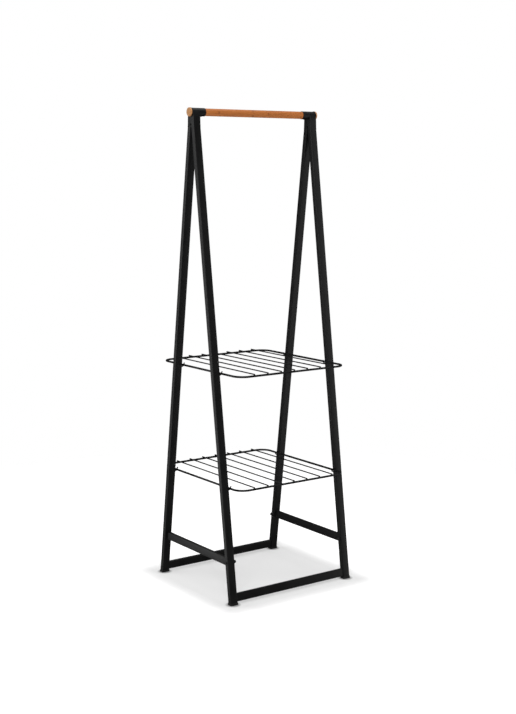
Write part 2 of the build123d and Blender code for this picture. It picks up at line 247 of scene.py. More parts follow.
def carried(profile: Array, path: Array, upright: Array, wrap: bool = False,
            swell: Array | None = None) -> Shell:
    """A flat profile carried along a path.

    The tangent is the path's central difference, the profile's first axis is the tangent
    crossed with the upright direction, and its second axis is square to both. Each point is
    the path point plus the two profile coordinates along those axes, times the swell.

    Args:
        profile: Outline of shape (points, 2), anticlockwise.
        path: Centre line of shape (stations, 3).
        upright: Direction that the profile's second axis leans towards.
        wrap: Whether the path is a loop.
        swell: Scale of the profile at each station, or None for 1 throughout.

    Returns:
        The carried surface.
    """
    if wrap:
        tangent = np.roll(path, -1, axis=0) - np.roll(path, 1, axis=0)
    else:
        tangent = np.gradient(path, axis=0)
    tangent = tangent / np.linalg.norm(tangent, axis=1, keepdims=True)
    first = np.cross(upright[None, :], tangent)
    first = first / np.linalg.norm(first, axis=1, keepdims=True)
    second = np.cross(tangent, first)
    scale = np.ones(len(path)) if swell is None else swell
    flat = profile[None, :, :] * scale[:, None, None]
    spread = flat[..., :1] * first[:, None, :] + flat[..., 1:] * second[:, None, :]
    return Shell(path[:, None, :] + spread, wrap)


def turned(radius: Array, height: Array, count: int, wrap: bool = False) -> Shell:
    """A surface of revolution, or one whose radius also depends on the turn.

    Each point is (radius cos t, radius sin t, height) for a turn t.

    Args:
        radius: Radius of each ring, of shape (rings,) or (rings, count).
        height: Height of each ring, of shape (rings,).
        count: Points in a ring.
        wrap: Whether the last ring joins the first, as on a ring with a bore.

    Returns:
        The turned surface.
    """
    reach = radius[:, None] if radius.ndim == 1 else radius
    angle = turns(count)[None, :]
    reach = np.broadcast_to(reach, (len(height), count))
    rise = np.broadcast_to(height[:, None], reach.shape)
    return Shell(np.stack([reach * np.cos(angle), reach * np.sin(angle), rise], axis=-1), wrap)


def hexagon(flats: float, count: int) -> Array:
    """Radius of a hexagon at each turn: half the flats over the cosine from the nearest flat."""
    from_flat = (turns(count) + pi / 6) % (pi / 3) - pi / 6
    return flats / 2 / np.cos(from_flat)


def arc(start: float, stop: float, steps: int) -> Array:
    """Angles from one to another, in radians, both ends kept."""
    return np.linspace(start, stop, steps + 1)


def round_edge(radius: float, steps: int = 5) -> tuple[Array, Array]:
    """A quarter-round edge at the end of a shape.

    Args:
        radius: Radius of the edge.
        steps: Spans in the quarter circle.

    Returns:
        How far in from the side, and how far from the end, each point of the edge is, from
        the end face to the side.
    """
    angle = arc(0, pi / 2, steps)
    return radius * (1 - np.sin(angle)), radius * (1 - np.cos(angle))


def rounded_ends(low: float, high: float, edge: float, steps: int,
                 between: int) -> tuple[Array, Array]:
    """Rings along a bar whose two ends have quarter-round edges.

    Args:
        low: Where the bar starts.
        high: Where it ends.
        edge: Radius of the edges.
        steps: Spans in each quarter circle.
        between: Number of rings between the two edges.

    Returns:
        The place of each ring, and how far in from the side the surface is there.
    """
    inset, depth = round_edge(edge, steps)
    middle = np.linspace(low + edge, high - edge, between + 2)[1:-1]
    return (np.concatenate([low + depth, middle, (high - depth)[::-1]]),
            np.concatenate([inset, np.zeros(between), inset[::-1]]))


def bell(distance: Array, width: float) -> Array:
    """One at no distance, falling off as a Gaussian of the given width."""
    return np.exp(-((distance / width) ** 2))


# ---- from arrays to pieces -----------------------------------------------------------------
SHARP = radians(38)   # faces that meet at a wider angle keep a crisp edge


def linked(name: str, data: bpy.types.ID) -> bpy.types.Object:
    """Makes an object of a mesh, a light or a camera, and links it to the scene.

    Args:
        name: Name of the object.
        data: The mesh, light or camera.

    Returns:
        The linked object.
    """
    made = bpy.data.objects.new(name, data)
    bpy.context.scene.collection.objects.link(made)
    return made


def make_piece(name: str, shells: list[Shell]) -> bpy.types.Object:
    """Puts closed shells into one mesh object at the origin.

    Args:
        name: Name of the piece.
        shells: The surfaces that it is made of.

    Returns:
        The new object, linked to the scene.
    """
    points, faces, first = [], [], 0
    for shell in shells:
        flat = shell.points.reshape(-1, 3)
        points.append(flat)
        faces.extend(shell.faces(first))
        first += len(flat)
    counts = np.concatenate([np.full(len(kind), kind.shape[1]) for kind in faces])
    corners = np.concatenate([kind.ravel() for kind in faces])
    mesh = bpy.data.meshes.new(name)
    mesh.vertices.add(first)
    mesh.vertices.foreach_set("co", np.concatenate(points).astype(np.float32).ravel())
    mesh.loops.add(len(corners))
    mesh.loops.foreach_set("vertex_index", corners.astype(np.int32))
    mesh.polygons.add(len(counts))
    mesh.polygons.foreach_set("loop_start", (np.cumsum(counts) - counts).astype(np.int32))
    mesh.update(calc_edges=True)
    mesh.validate()
    mesh.polygons.foreach_set("use_smooth", np.ones(len(mesh.polygons), bool))
    mesh.set_sharp_from_angle(angle=SHARP)
    return linked(name, mesh)


def stand_for(name: str, node: str, shells: list[Shell], finish: "Finish") -> bpy.types.Object:
    """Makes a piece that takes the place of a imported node.

    Args:
        name: Name of the piece.
        node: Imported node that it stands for; the piece rides on that node's body.
        shells: The surfaces that it is made of.
        finish: What it is finished with.

    Returns:
        The new object.
    """
    piece = make_piece(name, shells)
    piece.data.materials.append(finish.material())
    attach(piece, NODE_BODY[node])
    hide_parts(node)
    log.info("%s stands for %s: %d faces", name, node, len(piece.data.polygons))
    return piece


def dress(node: str, finish: "Finish") -> None:
    """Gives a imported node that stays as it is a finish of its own.

    Args:
        node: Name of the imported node.
        finish: What it is finished with.
    """
    kept = frame["nodes"][node]
    kept.data.materials.clear()
    kept.data.materials.append(finish.material())
    log.info("%s stays, in %s", node, finish.label)


# ---- finishes ------------------------------------------------------------------------------
class Board:
    """A small helper that adds shader nodes to one material and links them."""

    def __init__(self, label: str) -> None:
        """Starts an empty node material with that name.

        Args:
            label: Name of the material.
        """
        self.material = bpy.data.materials.new(label)
        self.material.use_nodes = True
        self.tree = self.material.node_tree
        self.tree.nodes.clear()
        self.out = self.tree.nodes.new("ShaderNodeOutputMaterial")
        self.surface = self.tree.nodes.new("ShaderNodeBsdfPrincipled")
        self.tree.links.new(self.surface.outputs["BSDF"], self.out.inputs["Surface"])
        self.place = self.tree.nodes.new("ShaderNodeTexCoord").outputs["Object"]

    def add(self, kind: str, links: dict | None = None, **settings: object) -> bpy.types.Node:
        """Adds a node.

        Args:
            kind: Blender's name of the node type.
            links: For each input, by name or number, the socket or the value that it takes.
            settings: Values of the node's own properties.

        Returns:
            The new node.
        """
        node = self.tree.nodes.new(kind)
        for name, value in settings.items():
            setattr(node, name, value)
        for name, value in (links or {}).items():
            if isinstance(value, Socket):
                self.tree.links.new(value, node.inputs[name])
            else:
                node.inputs[name].default_value = value
        return node

    def math(self, operation: str, *values: object) -> Socket:
        """Result of a Math node on sockets or numbers."""
        links = dict(enumerate(values))
        return self.add("ShaderNodeMath", links, operation=operation).outputs[0]

    def noise(self, scale: float, detail: float = 3.0, stretch: tuple | None = None,
              rough: float = 0.5) -> Socket:
        """Noise on the piece's own coordinates.

        Args:
            scale: Cells in a metre.
            detail: Octaves of finer noise.
            stretch: How much finer the noise is along each axis, or None.
            rough: Strength of the finer octaves.

        Returns:
            The noise's value, about 0 to 1.
        """
        where = self.place if stretch is None else self.scaled(stretch)
        made = self.add("ShaderNodeTexNoise", {"Vector": where, "Scale": scale,
                                               "Detail": detail, "Roughness": rough})
        return made.outputs["Fac"]

    def scaled(self, stretch: tuple) -> Socket:
        """The piece's own coordinates, scaled along each axis."""
        return self.add("ShaderNodeMapping", {"Vector": self.place, "Scale": stretch}).outputs[0]

    def between(self, factor: Socket, low: tuple | Socket, high: tuple | Socket) -> Socket:
        """A colour between two colours or sockets, by a factor from 0 to 1.

        Args:
            factor: Share of the second colour.
            low: Colour or socket at 0.
            high: Colour or socket at 1.

        Returns:
            The mixed colour.
        """
        mixed = self.add("ShaderNodeMix", data_type="RGBA")
        self.tree.links.new(factor, mixed.inputs["Factor"])
        for number, value in ((6, low), (7, high)):
            if isinstance(value, Socket):
                self.tree.links.new(value, mixed.inputs[number])
            else:
                mixed.inputs[number].default_value = (*value, 1.0)
        return mixed.outputs[2]

    def spread(self, value: Socket, source: tuple, target: tuple,
               soft: bool = False) -> Socket:
        """A value moved from one range to another, held at its ends.

        Args:
            value: The value.
            source: The range that it is in.
            target: The range that it goes to.
            soft: Whether the ends are eased.

        Returns:
            The moved value.
        """
        made = self.add("ShaderNodeMapRange",
                        {"Value": value, "From Min": source[0], "From Max": source[1],
                         "To Min": target[0], "To Max": target[1]},
                        interpolation_type="SMOOTHSTEP" if soft else "LINEAR")
        return made.outputs["Result"]

    def bump(self, height: Socket, depth: float, strength: float = 1.0,
             under: Socket | None = None) -> Socket:
        """A surface normal pushed about by a height.

        Args:
            height: The height, about 0 to 1.
            depth: How far the surface moves from 0 to 1, in metres.
            strength: Share of the push that is kept.
            under: Normal that this one is added to, or None.

        Returns:
            The new normal.
        """
        links = {"Height": height, "Distance": depth, "Strength": strength}
        if under is not None:
            links["Normal"] = under
        return self.add("ShaderNodeBump", links).outputs["Normal"]

    def shades(self, value: Socket, source: tuple, low: tuple,
               high: tuple) -> Socket:
        """A colour from low to high, as the value goes through its source range."""
        return self.between(self.spread(value, source, (0, 1)), low, high)

    def length(self, *parts: Socket) -> Socket:
        """Root of the sum of the squares of two sockets."""
        squares = [self.math("POWER", part, 2.0) for part in parts]
        return self.math("SQRT", self.math("ADD", *squares))

    def strips(self, across: Socket) -> tuple[Socket, Socket]:
        """A random share for each whole number, and the distance from that strip's middle.

        Args:
            across: Place across the strips, in strip widths.

        Returns:
            The random share, and the distance in strip widths.
        """
        chance = self.add("ShaderNodeTexWhiteNoise", {"W": self.math("FLOOR", across)},
                          noise_dimensions="1D").outputs["Value"]
        return chance, self.math("ABSOLUTE", self.math("SUBTRACT",
                                                       self.math("FRACT", across), 0.5))

    def finish(self, colour: Socket, dull: Socket, roughness: tuple,
               normal: Socket, **constants: float) -> None:
        """Leads the sockets of a finish to the surface and sets its constant inputs.

        Args:
            colour: The base colour.
            dull: Noise that goes from smooth to rough.
            roughness: Lowest and highest roughness.
            normal: The surface's normal.
            constants: Constant inputs of the surface, with _ for a space in their names.
        """
        for socket, name in ((colour, "Base Color"), (normal, "Normal"),
                             (self.spread(dull, (0.3, 0.7), roughness), "Roughness")):
            self.wire(socket, name)
        self.set(**constants)

    def wire(self, socket: Socket, name: str) -> None:
        """Leads a socket to one of the surface's inputs."""
        self.tree.links.new(socket, self.surface.inputs[name])

    def set(self, **values: float) -> None:
        """Sets constant inputs of the surface, with _ for a space in their names."""
        for name, value in values.items():
            self.surface.inputs[name.replace("_", " ")].default_value = value


class Finish:
    """What a piece is finished with. One material is made for each finish and shared."""

    label: str = "finish"
    made: dict = {}

    def material(self) -> bpy.types.Material:
        """The finish's material, made the first time that it is asked for.

        Returns:
            The material.
        """
        if self not in Finish.made:
            board = Board(self.label)
            self.paint(board)
            Finish.made[self] = board.material
        return Finish.made[self]

    def paint(self, board: Board) -> None:
        """Adds the finish's shader nodes to an empty board."""
        raise NotImplementedError


@dataclass(frozen=True)
class PowderCoat(Finish):
    """Satin black powder coat on steel: fine orange peel, faint clouds and a little dust."""

    label: str = "powder_coat"
    tone: tuple = (0.0042, 0.0042, 0.0043)  # Colour where the coat is darkest
    lift: tuple = (0.0070, 0.0070, 0.0071)  # Colour where the coat is palest
    peel: float = 620.0  # Bumps of the orange peel in a metre
    peel_depth: float = 0.00006  # Height of the orange peel
    roughness: tuple = (0.34, 0.46)  # Lowest and highest roughness
    gleam: float = 0.24  # Specular level of the coat

    def paint(self, board: Board) -> None:
        """Clouds set the colour and the roughness; two sizes of peel set the bumps.

        Args:
            board: The node material to fill in.
        """
        clouds = board.noise(9.0, detail=4.0)
        grains = board.noise(self.peel * 2.4, detail=2.0)
        mixed = board.math("MULTIPLY_ADD", grains, 0.4, board.math("MULTIPLY", clouds, 0.6))
        peel = board.bump(board.noise(self.peel, detail=1.0), self.peel_depth)
        board.finish(board.shades(clouds, (0.3, 0.7), self.tone, self.lift), mixed,
                     self.roughness, board.bump(grains, self.peel_depth / 3, under=peel),
                     Specular_IOR_Level=self.gleam, IOR=1.5)


# Constant inputs of the thin lacquer on the bamboo.
LACQUER = {"Specular_IOR_Level": 0.18, "Coat_Weight": 0.02, "Coat_Roughness": 0.30, "IOR": 1.5}


@dataclass(frozen=True)
class Bamboo(Finish):
    """Laminated bamboo under a thin lacquer: strips side by side, long fibres and node marks."""

    label: str = "bamboo"
    strip: float = 0.0063  # Width of one strip, across Y
    node_pitch: float = 0.235  # From one node of a strip to its next
    node_reach: float = 0.0042  # Half the length of a node's dark mark
    pale: tuple = (0.600, 0.215, 0.056)  # Colour of the palest fibres
    warm: tuple = (0.470, 0.150, 0.036)  # Colour of the middle tone
    deep: tuple = (0.275, 0.082, 0.022)  # Colour of the darkest fibres
    mark: tuple = (0.170, 0.050, 0.014)  # Colour of a node
    roughness: tuple = (0.38, 0.54)  # Lowest and highest roughness

    def paint(self, board: Board) -> None:
        """Strips by Y, each with its own tone and node places; fibres run along X.

        Args:
            board: The node material to fill in.
        """
        axes = board.add("ShaderNodeSeparateXYZ", {"Vector": board.place}).outputs
        wander = board.math("MULTIPLY", board.noise(3.0, detail=1.0), 0.0016)
        across = board.math("DIVIDE", board.math("ADD", axes["Y"], wander), self.strip)
        share, edge = board.strips(across)
        fibres = board.noise(16.0, detail=6.0, stretch=(0.7, 60.0, 60.0), rough=0.62)
        streaks = board.noise(5.0, detail=3.0, stretch=(1.1, 55.0, 34.0))
        tone = board.math("MULTIPLY_ADD", share, 0.34, board.math("MULTIPLY", fibres, 0.66))
        base = board.shades(tone, (0.28, 0.68), self.warm, self.pale)
        dark = board.spread(streaks, (0.56, 0.74), (0, 0.75), soft=True)
        base = board.between(dark, base, self.deep)
        # A node: distance along X from the nearest node of this strip.
        along = board.math("DIVIDE", axes["X"], self.node_pitch)
        turn = board.math("FRACT", board.math("ADD", along, board.math("MULTIPLY", share, 7.3)))
        away = board.math("MULTIPLY", board.math("ABSOLUTE", board.math("SUBTRACT", turn, 0.5)),
                          self.node_pitch)
        frayed = board.math("MULTIPLY_ADD", fibres, 0.006, away)
        node = board.spread(frayed, (0.003 + self.node_reach, 0.0032), (0, 0.6), soft=True)
        halo = board.spread(frayed, (0.003 + 4 * self.node_reach, 0.004), (0, 0.22), soft=True)
        base = board.between(halo, base, self.deep)
        base = board.between(node, base, self.mark)
        # The glue line between two strips.
        joint = board.spread(edge, (0.468, 0.496), (0, 0.45))
        base = board.between(joint, base, self.mark)
        grain = board.bump(fibres, 0.00012)
        board.finish(base, fibres, self.roughness, board.bump(joint, -0.00008, under=grain),
                     **LACQUER)


@dataclass(frozen=True)
class BambooEnd(Finish):
    """End grain of laminated bamboo: strips, and the dark dots of the fibre bundles."""

    label: str = "bamboo_end"
    strip: float = 0.0063  # Width of one strip, across Y
    dots: float = 1250.0  # Fibre bundles in a metre
    pale: tuple = (0.66, 0.345, 0.150)  # Colour of the pith between the bundles
    warm: tuple = (0.53, 0.250, 0.098)  # Colour of the darker strips
    dot: tuple = (0.27, 0.105, 0.036)  # Colour of a bundle

    def paint(self, board: Board) -> None:
        """Strips by Y, round bundles by a cell pattern that is drawn out along X.

        Args:
            board: The node material to fill in.
        """
        axes = board.add("ShaderNodeSeparateXYZ", {"Vector": board.place}).outputs
        slant = board.math("MULTIPLY_ADD", axes["Z"], 0.55, axes["Y"])
        chance, edge = board.strips(board.math("DIVIDE", slant, self.strip))
        cells = board.add("ShaderNodeTexVoronoi", {"Vector": board.scaled((0.04, 1.0, 1.0)),
                                                   "Scale": self.dots}).outputs["Distance"]
        clouds = board.noise(140.0, detail=3.0)
        tone = board.math("MULTIPLY_ADD", clouds, 0.5, board.math("MULTIPLY", chance, 0.5))
        base = board.shades(tone, (0.25, 0.75), self.warm, self.pale)
        bundle = board.spread(cells, (0.16, 0.34), (0.75, 0), soft=True)
        base = board.between(bundle, base, self.dot)
        joint = board.spread(edge, (0.465, 0.495), (0, 0.5))
        base = board.between(joint, base, self.dot)
        board.finish(base, clouds, (0.36, 0.52), board.bump(bundle, -0.00006), **LACQUER)


@dataclass(frozen=True)
class MouldedPlastic(Finish):
    """Moulded plastic with a fine spark-eroded grain."""

    label: str = "moulded_plastic"
    tone: tuple = (0.0038, 0.0038, 0.0039)  # Darker colour
    lift: tuple = (0.0085, 0.0085, 0.0087)  # Paler colour, on the scuffed places
    grain: float = 1900.0  # Bumps of the grain in a metre
    roughness: tuple = (0.52, 0.68)  # Lowest and highest roughness

    def paint(self, board: Board) -> None:
        """Scuffs set the colour and the roughness; the grain sets the bumps.

        Args:
            board: The node material to fill in.
        """
        scuffs = board.noise(60.0, detail=5.0, rough=0.62)
        grain = board.noise(self.grain, detail=2.0)
        board.finish(board.shades(scuffs, (0.42, 0.72), self.tone, self.lift), scuffs,
                     self.roughness, board.bump(grain, 0.00004), Specular_IOR_Level=0.4, IOR=1.49)


@dataclass(frozen=True)
class PlatedSteel(Finish):
    """Plated or blackened steel, with fine turning marks and handling smudges."""

    label: str = "black_plated_steel"
    tone: tuple = (0.012, 0.012, 0.013)  # Darker colour
    lift: tuple = (0.040, 0.039, 0.038)  # Paler colour, where the plating is rubbed
    metal: float = 0.75  # How metallic the surface is
    roughness: tuple = (0.28, 0.44)  # Lowest and highest roughness

    def paint(self, board: Board) -> None:
        """Smudges set the colour and the roughness; turning marks lie square to X.

        Args:
            board: The node material to fill in.
        """
        smudges = board.noise(180.0, detail=4.0)
        marks = board.noise(60.0, detail=3.0, stretch=(40.0, 1.0, 1.0))
        mixed = board.math("MULTIPLY_ADD", marks, 0.5, board.math("MULTIPLY", smudges, 0.5))
        board.finish(board.shades(smudges, (0.4, 0.75), self.tone, self.lift), mixed,
                     self.roughness, board.bump(marks, 0.00002), Metallic=self.metal,
                     Specular_IOR_Level=0.5)


POWDER = PowderCoat()
WIRE_COAT = PowderCoat(label="wire_coat", tone=(0.0034, 0.0034, 0.0035),
                       lift=(0.0056, 0.0056, 0.0057), peel=900.0, peel_depth=0.00003,
                       roughness=(0.32, 0.46))
CAST_COAT = PowderCoat(label="cast_coat", tone=(0.0042, 0.0043, 0.0045),
                       lift=(0.0072, 0.0073, 0.0076), peel=480.0, peel_depth=0.00008,
                       roughness=(0.34, 0.50))
BAMBOO = Bamboo()
BAMBOO_END = BambooEnd()
FOOT_PLASTIC = MouldedPlastic(label="foot_plastic")
PLUG_PLASTIC = MouldedPlastic(label="plug_plastic", tone=(0.035, 0.035, 0.036),
                              lift=(0.060, 0.060, 0.060))
BLACK_STEEL = PlatedSteel()
ZINC_STEEL = PlatedSteel(label="zinc_steel", tone=(0.42, 0.43, 0.44), lift=(0.62, 0.63, 0.63),
                         metal=1.0)


# ---- the leaning frames --------------------------------------------------------------------
@dataclass(frozen=True)
class Lean:
    """How one leg leans: its centre line's distance from the middle plane at each height."""

    low: float  # Height of the leg's lower end
    start: float  # Distance of the centre line at the lower end
    slope: float  # How much nearer it comes for each metre of height
    level_depth: float  # Depth of the leg, measured level

    def at(self, height: Array | float) -> Array | float:
        """Distance of the centre line from the middle plane at a height."""
        return self.start - (height - self.low) * self.slope


def lean_of(node: str, depth: float) -> Lean:
    """Works out a leg's lean from its box.

    With e the box's size along Y, r its height and d the depth of the tube, the lean L obeys
    e cos L = r sin L + d, so L is the angle whose cosine is d over hypot(e, r), less the
    angle of r over e.

    Args:
        node: Name of the leg's node.
        depth: Depth of the tube, square to its length.

    Returns:
        The lean.
    """
    leg = Box(node)
    _, reach, rise = leg.size
    angle = acos(depth / hypot(reach, rise)) - atan2(rise, reach)
    level_depth = depth / cos(angle)
    farthest = max(abs(leg.low[1]), abs(leg.high[1]))
    return Lean(leg.low[2], farthest - level_depth / 2, tan(angle), level_depth)


@dataclass
class Frames:
    """The four legs, the two bottom bars, the two stretchers and the four feet."""

    leg_depth: float = 20.5 * MM  # Depth of a leg, square to its length
    leg_corner: float = 2.0 * MM  # Corner radius of a leg
    bar_depth: float = 14.0 * MM  # Depth of a bottom bar
    bar_height: float = 32.0 * MM  # Height of a bottom bar, square to its depth
    bar_corner: float = 2.0 * MM  # Corner radius of a bottom bar
    stretcher_corner: float = 1.8 * MM  # Corner radius of a stretcher
    stretcher_gap: float = 0.3 * MM  # Clearance between a stretcher's end and the leg
    end_edge: float = 0.5 * MM  # Rounding of the cut ends of bars
    stations: int = 48  # Rings along a leg
    foot_wall: float = 1.6 * MM  # Wall of a foot's cup
    foot_edge: float = 1.1 * MM  # Rounding round the sole
    foot_lip: float = 0.6 * MM  # Rounding of the cup's lip
    foot_floor: float = 3.5 * MM  # Thickness of the sole
    groove_depth: float = 0.25 * MM  # Depth of the grooves round a foot
    groove_pitch: float = 2.0 * MM  # From one groove to the next
    # The cup's inside past the leg: at its mouth, below the lip and at its floor.
    cup_margins: tuple[float, float, float] = (0.5 * MM, 0.15 * MM, 0.15 * MM)
    lean: Lean = field(init=False)

    def __post_init__(self) -> None:
        """Reads the lean, which the four legs share."""
        self.lean = lean_of("leg_front_left", self.leg_depth)

    def leg(self, face: Face, side: Side) -> Shell:
        """A leg: its level section, a rounded rectangle, slides along Y as it rises.

        Args:
            face: Front or back.
            side: Left or right.

        Returns:
            The tube's closed outer surface.
        """
        leg = Box(f"leg_{face.word}_{side.word}")
        section = rounded_rectangle(leg.size[0], self.leg_depth, self.leg_corner)
        height = np.linspace(leg.low[2], leg.high[2], self.stations)[:, None]
        stretch = self.lean.level_depth / self.leg_depth
        along_y = face.value * self.lean.at(height) + section[None, :, 1] * stretch
        return surface(leg.middle[0] + section[None, :, 0], along_y, height)

    def bottom_bar(self, face: Face) -> Shell:
        """A bottom bar: a rounded rectangle, tipped as the legs lean, carried along X.

        The rings near each end shrink by a quarter-round edge.

        Args:
            face: The face that the bar is on.

        Returns:
            The bar's surface.
        """
        bar = Box(f"bottom_bar_{face.word}")
        stations, shrink = rounded_ends(bar.low[0], bar.high[0], self.end_edge, 5, 22)
        section = rounded_rectangle(self.bar_depth, self.bar_height, self.bar_corner)
        half = np.abs(section).max(axis=0)
        kept = section[None, :, :] * (1 - shrink[:, None, None] / half)
        across, upright = kept[..., 0], kept[..., 1]
        tip = np.arctan(self.lean.slope) * -face.value
        return surface(stations[:, None],
                       bar.middle[1] + across * cos(tip) + upright * sin(tip),
                       bar.middle[2] - across * sin(tip) + upright * cos(tip))

    def stretcher(self, side: Side) -> Shell:
        """A side stretcher: a rounded rectangle along Y whose ends are cut to the legs' lean.

        Each point's Y is a share, from -1 to 1, of the reach of the leg's inner wall at that
        point's own height, less the clearance.

        Args:
            side: The end that the stretcher is at.

        Returns:
            The stretcher's surface.
        """
        bar = Box(f"stretcher_{side.word}")
        section = rounded_rectangle(bar.size[0], bar.size[2], self.stretcher_corner)
        height = bar.middle[2] + section[:, 1]
        reach = self.lean.at(height) - self.lean.level_depth / 2 - self.stretcher_gap
        share = np.linspace(-1, 1, 26)[:, None]
        return surface(bar.middle[0] - section[:, 0], share * reach[None, :], height)

    def foot(self, face: Face, side: Side) -> Shell:
        """A foot: level rounded rectangles from the sole up to the lip and down into the cup.

        Going up, each ring is the leg's section grown by a margin, which narrows evenly from
        the sole to the lip, dips at each groove, and is rounded at the sole and the lip.

        Args:
            face: The face that the leg is on.
            side: The end that the leg is at.

        Returns:
            The foot's surface.
        """
        node = f"foot_{face.word}_{side.word}"
        low, high, middle = Box(node).low, Box(node).high, Box(node).middle
        leg_width = Box(node.replace("foot", "leg")).size[0]
        sole = (high[0] - low[0] - leg_width) / 2
        inset, rise = round_edge(self.foot_edge)
        top_inset, top_drop = round_edge(self.foot_lip)
        side_rings = np.linspace(low[2] + self.foot_edge, high[2] - self.foot_lip, 30)[1:-1]
        height = np.concatenate([low[2] + rise, side_rings, (high[2] - top_drop)[::-1],
                                 [high[2], high[2] - self.foot_lip, low[2] + self.foot_floor]])
        share = (height - low[2]) / (high[2] - low[2])
        wave = bell((side_rings - low[2] - 2 * self.groove_pitch) % self.groove_pitch
                    - self.groove_pitch / 2, self.groove_pitch / 7)
        cut = np.concatenate([inset, self.groove_depth * wave, top_inset[::-1], [0, 0, 0]])
        margin = sole + (self.foot_wall - sole) * share - cut
        margin[-3:] = self.cup_margins
        angle, sign = corners(6)
        bend = np.stack([np.cos(angle), np.sin(angle)], axis=1)
        corner = (self.leg_corner + margin)[:, None, None]
        leg = np.array([leg_width, self.lean.level_depth]) / 2
        flat = sign[None] * (leg + margin[:, None, None] - corner) + corner * bend[None]
        height = height[:, None]
        return surface(middle[0] + flat[..., 0], face.value * self.lean.at(height) + flat[..., 1],
                       height)

    def build(self) -> None:
        """Builds and dresses every leg, bar, stretcher and foot."""
        for side in Side:
            for face in Face:
                place = f"{face.word}_{side.word}"
                stand_for(f"{place}_leg_tube", f"leg_{place}", [self.leg(face, side)], POWDER)
                stand_for(f"{place}_foot_cap", f"foot_{place}", [self.foot(face, side)],
                          FOOT_PLASTIC)
                dress(f"leg_plug_{place}", PLUG_PLASTIC)
            name = side.word
            stand_for(f"{name}_stretcher_tube", f"stretcher_{name}", [self.stretcher(side)],
                      POWDER)
            dress(f"stretcher_tongues_{name}", ZINC_STEEL)
        for face in Face:
            name = face.word
            stand_for(f"{name}_bar_tube", f"bottom_bar_{name}", [self.bottom_bar(face)], POWDER)
        dress("bar_plugs", PLUG_PLASTIC)


# ---- the rail and its heads ----------------------------------------------------------------
def outward(piece: Box, side: Side, level: float) -> Placement:
    """The place at a box's inner end, at a level on the middle plane, looking outwards."""
    start = (piece.low if side is Side.RIGHT else piece.high)[0]
    return Placement((start, 0.0, level), (side.value, 0, 0), (0, side.value, 0))


@dataclass
class Rail:
    """The bamboo rail, its two end discs and the hidden pieces that hold them."""

    count: int = 64  # Points round the rail
    stations: int = 240  # Rings along the rail
    swell: float = 0.06 * MM  # How much the turned rod swells and narrows by hand sanding
    disc_edge: float = 1.8 * MM  # Rounding of a disc's outer edge
    disc_crown: float = 0.35 * MM  # How much the middle of a disc's face stands above its edge

    def rod(self) -> Shell:
        """The rail: a circle carried along X, whose radius wanders by a few hundredths.

        The radius is the box's less a slow sum of two sines of X and of the turn.

        Returns:
            The rail's surface.
        """
        rail = Box("hanging_rail")
        along = np.linspace(rail.low[0], rail.high[0], self.stations)[:, None]
        angle = turns(self.count)[None, :]
        wander = 0.5 + 0.25 * np.sin(along * 41 + 2 * angle) + 0.25 * np.sin(along * 17 - angle)
        reach = rail.size[2] / 2 - self.swell * wander
        return surface(along, reach * np.cos(angle), rail.middle[2] + reach * np.sin(angle))

    def disc(self, side: Side) -> Shell:
        """An end disc: a turned profile with a rounded outer edge and a slightly crowned face.

        The crown falls off with the square of the distance from the middle.

        Args:
            side: The end that the disc is at.

        Returns:
            The disc's surface.
        """
        cap = Box(f"rail_cap_{side.word}")
        radius, thickness = cap.size[2] / 2, cap.size[0]
        inset, drop = round_edge(self.disc_edge)
        back_inset, back_rise = round_edge(0.4 * MM, 3)
        face_radius = np.linspace(0.06, 1, 14)[::-1] * (radius - self.disc_edge)
        fall = self.disc_crown * (face_radius / (radius - self.disc_edge)) ** 2
        rings = np.concatenate([radius - back_inset, (radius - inset)[::-1], face_radius[1:]])
        heights = np.concatenate([back_rise, thickness - self.disc_crown - drop[::-1],
                                  (thickness - fall)[1:]])
        return turned(rings, heights, self.count).placed(outward(cap, side, cap.middle[2]))

    def build(self) -> None:
        """Builds and dresses the rail, its discs, dowels and screws."""
        stand_for("bamboo_rail", "hanging_rail", [self.rod()], BAMBOO)
        for side in Side:
            name = side.word
            stand_for(f"{name}_end_disc", f"rail_cap_{name}", [self.disc(side)], BAMBOO_END)
        dress("cap_dowels", BAMBOO)
        dress("rail_screws", BLACK_STEEL)


